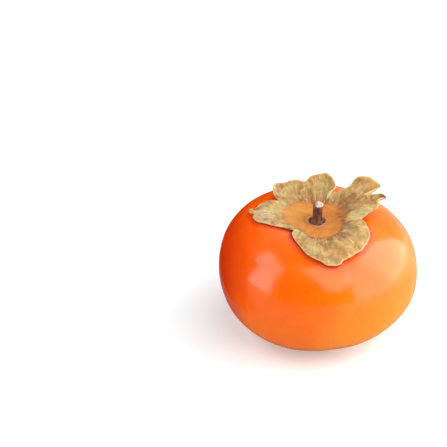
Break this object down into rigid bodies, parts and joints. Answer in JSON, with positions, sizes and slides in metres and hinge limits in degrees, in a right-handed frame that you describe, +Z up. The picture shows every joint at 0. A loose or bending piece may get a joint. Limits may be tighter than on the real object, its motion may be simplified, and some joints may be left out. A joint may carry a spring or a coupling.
{
  "type": "persimmon",
  "caption": "Whole ripe orange persimmon of the squat kind, standing on its blossom end, with a dried lobed calyx and a stub of stem on top.",
  "frame": {"origin": "on the surface that the fruit rests on, under the middle of the fruit's outline", "axes": "+Z up towards the calyx and stem, -Y towards the front with the largest calyx lobe, +X to the right"},
  "size_m": [0.0782, 0.0782, 0.058],
  "materials": {
    "skin": "smooth waxy fruit skin, glossy",
    "calyx": "dry, leathery, wrinkled, matt",
    "stem": "thin dry bark with a pale cut end",
    "style": "dry and dark"
  },
  "bodies": {
    "root": {"fruit": "skin", "calyx": "calyx", "stem": "stem", "style_tip": "style"}
  },
  "joints": []
}
